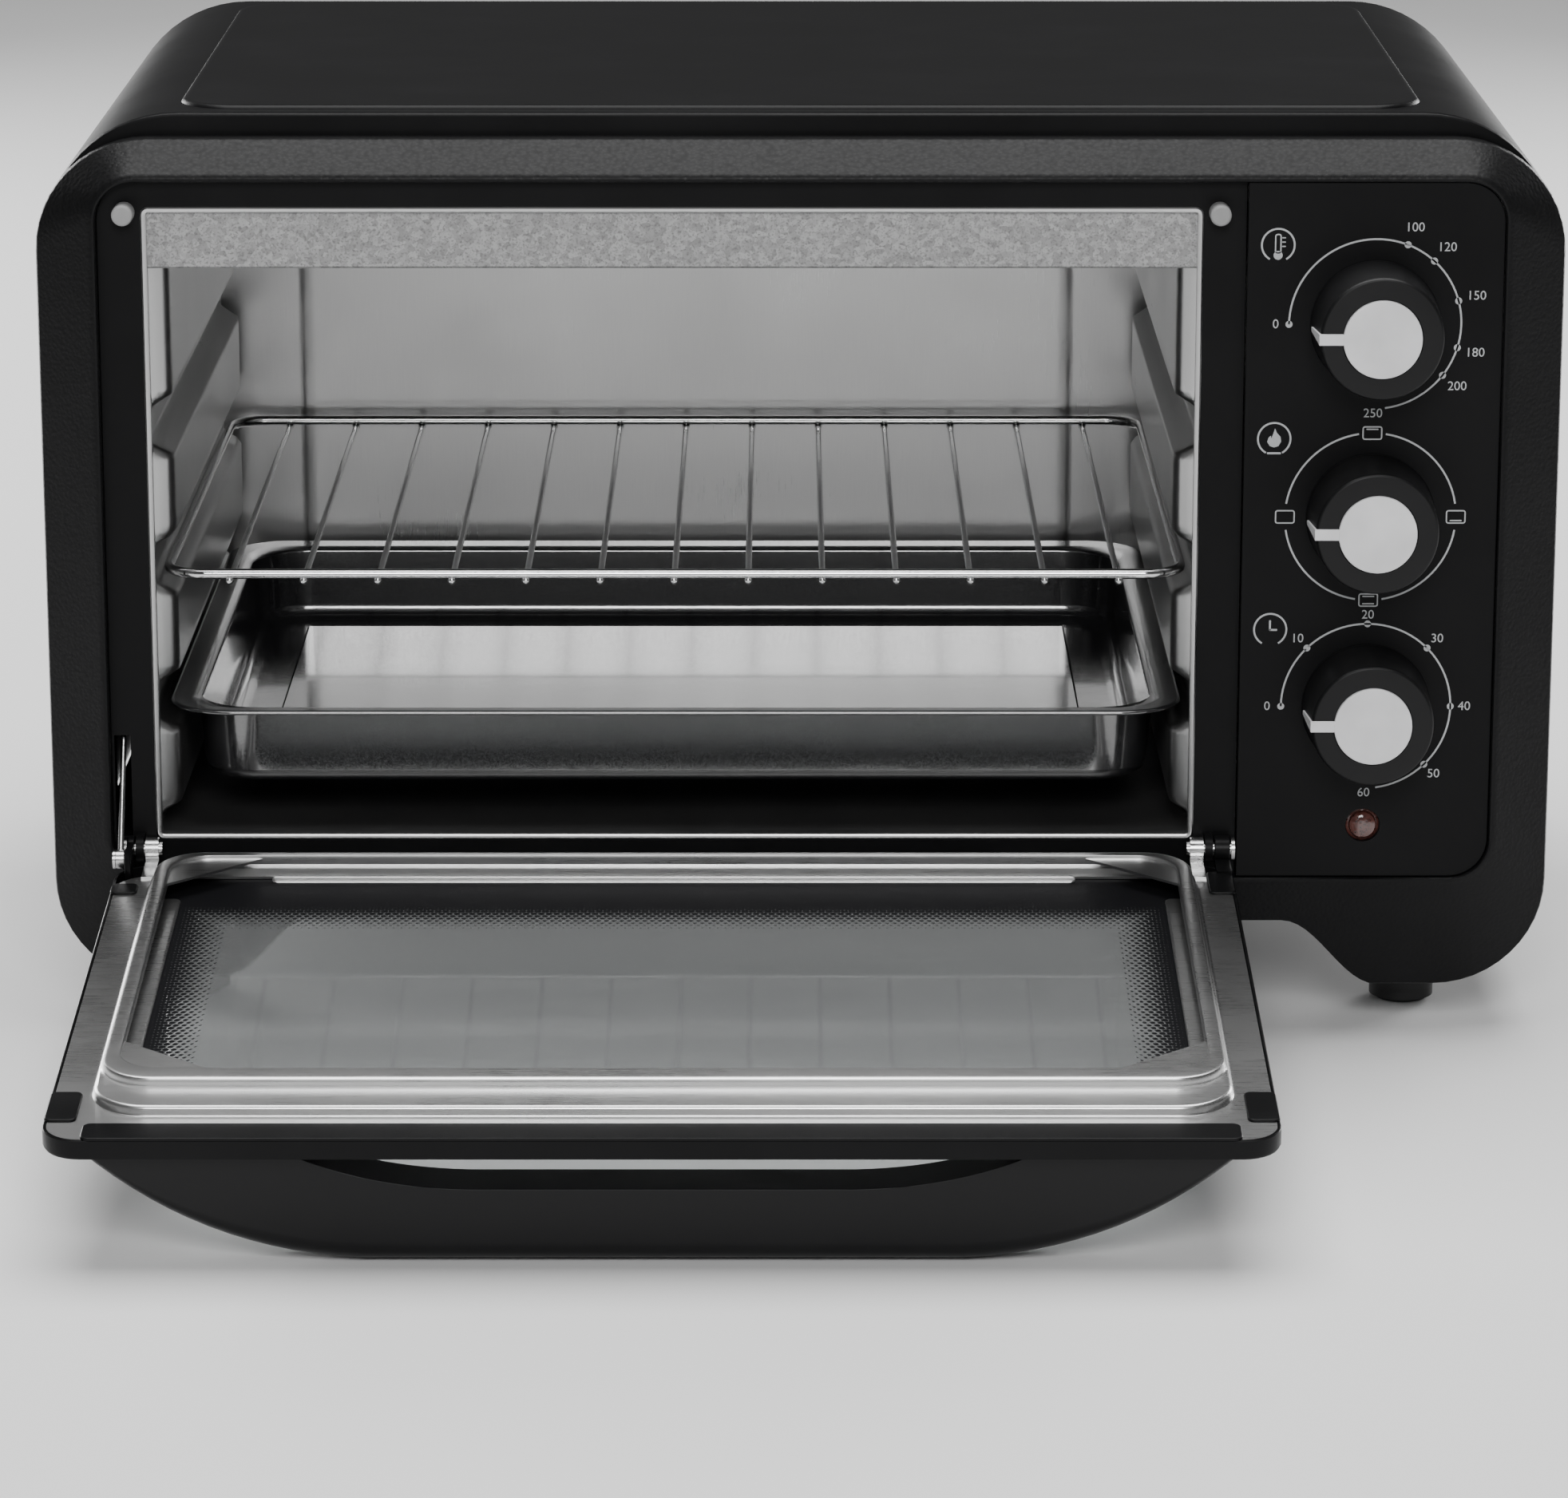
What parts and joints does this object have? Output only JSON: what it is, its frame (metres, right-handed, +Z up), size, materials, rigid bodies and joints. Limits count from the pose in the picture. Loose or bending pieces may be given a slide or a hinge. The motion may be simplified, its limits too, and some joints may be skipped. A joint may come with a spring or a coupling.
{
  "type": "toaster oven",
  "caption": "Countertop toaster oven with a drop-down glass door, rotary controls, a sliding wire rack and a baking tray.",
  "frame": {"origin": "on the table, midway across the width and midway between the tip of the open door and the back of the cord bushing", "axes": "+X to the right when facing the door, +Y from the door to the back, +Z up"},
  "size_m": [0.46, 0.4884, 0.2862],
  "materials": {
    "black_paint": "satin black powder coat with a fine grain",
    "galvanised": "galvanised sheet, matt grey with a fine speckle",
    "feet_plastic": "matt black moulded plastic",
    "foot_rubber": "matt black rubber",
    "zinc_screws": "bright zinc-plated steel",
    "cavity_steel": "aluminised steel, satin",
    "cavity_floor_steel": "dark coated steel",
    "bright_steel": "bright plated steel",
    "spring_steel": "drawn spring wire",
    "heater_sheath": "dark oxidised steel tube",
    "ceramic": "unglazed white ceramic",
    "device_body": "moulded phenolic resin",
    "knob_plastic": "satin black moulded plastic",
    "cap_plastic": "light grey satin plastic",
    "lamp_plastic": "dark smoky clear plastic",
    "bumper_plastic": "grey heat-resistant plastic",
    "pan_steel": "satin steel",
    "door_glass": "clear tempered glass with a black printed border",
    "rack_chrome": "bright chrome wire",
    "tray_enamel": "gloss black enamel on steel"
  },
  "bodies": {
    "oven": {"front_frame": "black_paint", "outer_cover": "black_paint", "back_panel": "galvanised", "base_plate": "galvanised", "feet": "feet_plastic", "foot_pads": "foot_rubber", "foot_screws": "zinc_screws", "back_screws": "zinc_screws", "front_plate": "black_paint", "cavity_left_wall": "cavity_steel", "cavity_right_wall": "cavity_steel", "cavity_back": "cavity_steel", "cavity_roof": "cavity_steel", "cavity_floor": "cavity_floor_steel", "cavity_rivets": "bright_steel", "heat_deflector": "galvanised", "upper_element": "heater_sheath", "lower_element": "heater_sheath", "element_insulators": "ceramic", "element_bracket": "galvanised", "control_panel": "black_paint", "thermostat": "device_body", "function_switch": "device_body", "timer": "device_body", "timer_bell": "bright_steel", "lamp_lens": "lamp_plastic", "lamp_holder": "feet_plastic", "bumpers": "bumper_plastic", "hinge_brackets": "black_paint", "hinge_pins": "bright_steel", "door_spring": "spring_steel", "spring_bracket": "galvanised", "cord_bushing": "feet_plastic", "terminal_block": "ceramic"},
    "door": {"door_outer_panel": "black_paint", "door_inner_pan": "pan_steel", "hinge_knuckles": "bright_steel", "door_glass": "door_glass", "glass_strips": "pan_steel", "door_handle": "knob_plastic", "handle_screws": "zinc_screws", "link_stud": "bright_steel"},
    "link": {"door_link": "bright_steel"},
    "temperature_control": {"temperature_shaft": "bright_steel", "temperature_knob": "knob_plastic", "temperature_cap": "cap_plastic"},
    "function_control": {"function_shaft": "bright_steel", "function_knob": "knob_plastic", "function_cap": "cap_plastic"},
    "timer_control": {"timer_shaft": "bright_steel", "timer_knob": "knob_plastic", "timer_cap": "cap_plastic"},
    "rack": {"wire_rack": "rack_chrome"},
    "tray": {"baking_tray": "tray_enamel"}
  },
  "joints": [
    {"name": "door_hinge", "type": "hinge", "parent": "oven", "child": "door", "pos_m": [-0.0385, -0.02927, 0.0612], "axis": [1, 0, 0], "range_deg": [-95.05, 8.95], "deforming": ["door_spring"]},
    {"name": "link_pivot", "type": "hinge", "parent": "door", "child": "link", "pos_m": [-0.2071, -0.03865, 0.06057], "axis": [1, 0, 0], "range_deg": [-9.95, 96.05]},
    {"name": "temperature_turn", "type": "hinge", "parent": "oven", "child": "temperature_control", "pos_m": [0.172, -0.02977, 0.224], "axis": [0, 1, 0], "range_deg": [0, 270]},
    {"name": "function_turn", "type": "hinge", "parent": "oven", "child": "function_control", "pos_m": [0.172, -0.02977, 0.165], "axis": [0, 1, 0], "range_deg": [0, 270]},
    {"name": "timer_turn", "type": "hinge", "parent": "oven", "child": "timer_control", "pos_m": [0.172, -0.02977, 0.106], "axis": [0, 1, 0], "range_deg": [0, 270]},
    {"name": "rack_slide", "type": "slide", "parent": "oven", "child": "rack", "axis": [0, -1, 0], "range_m": [0, 0.2]},
    {"name": "tray_slide", "type": "slide", "parent": "oven", "child": "tray", "axis": [0, -1, 0], "range_m": [0, 0.2]}
  ],
  "couplings": [
    {"joint": "link_pivot", "follows": "door_hinge", "ratio": -1}
  ]
}
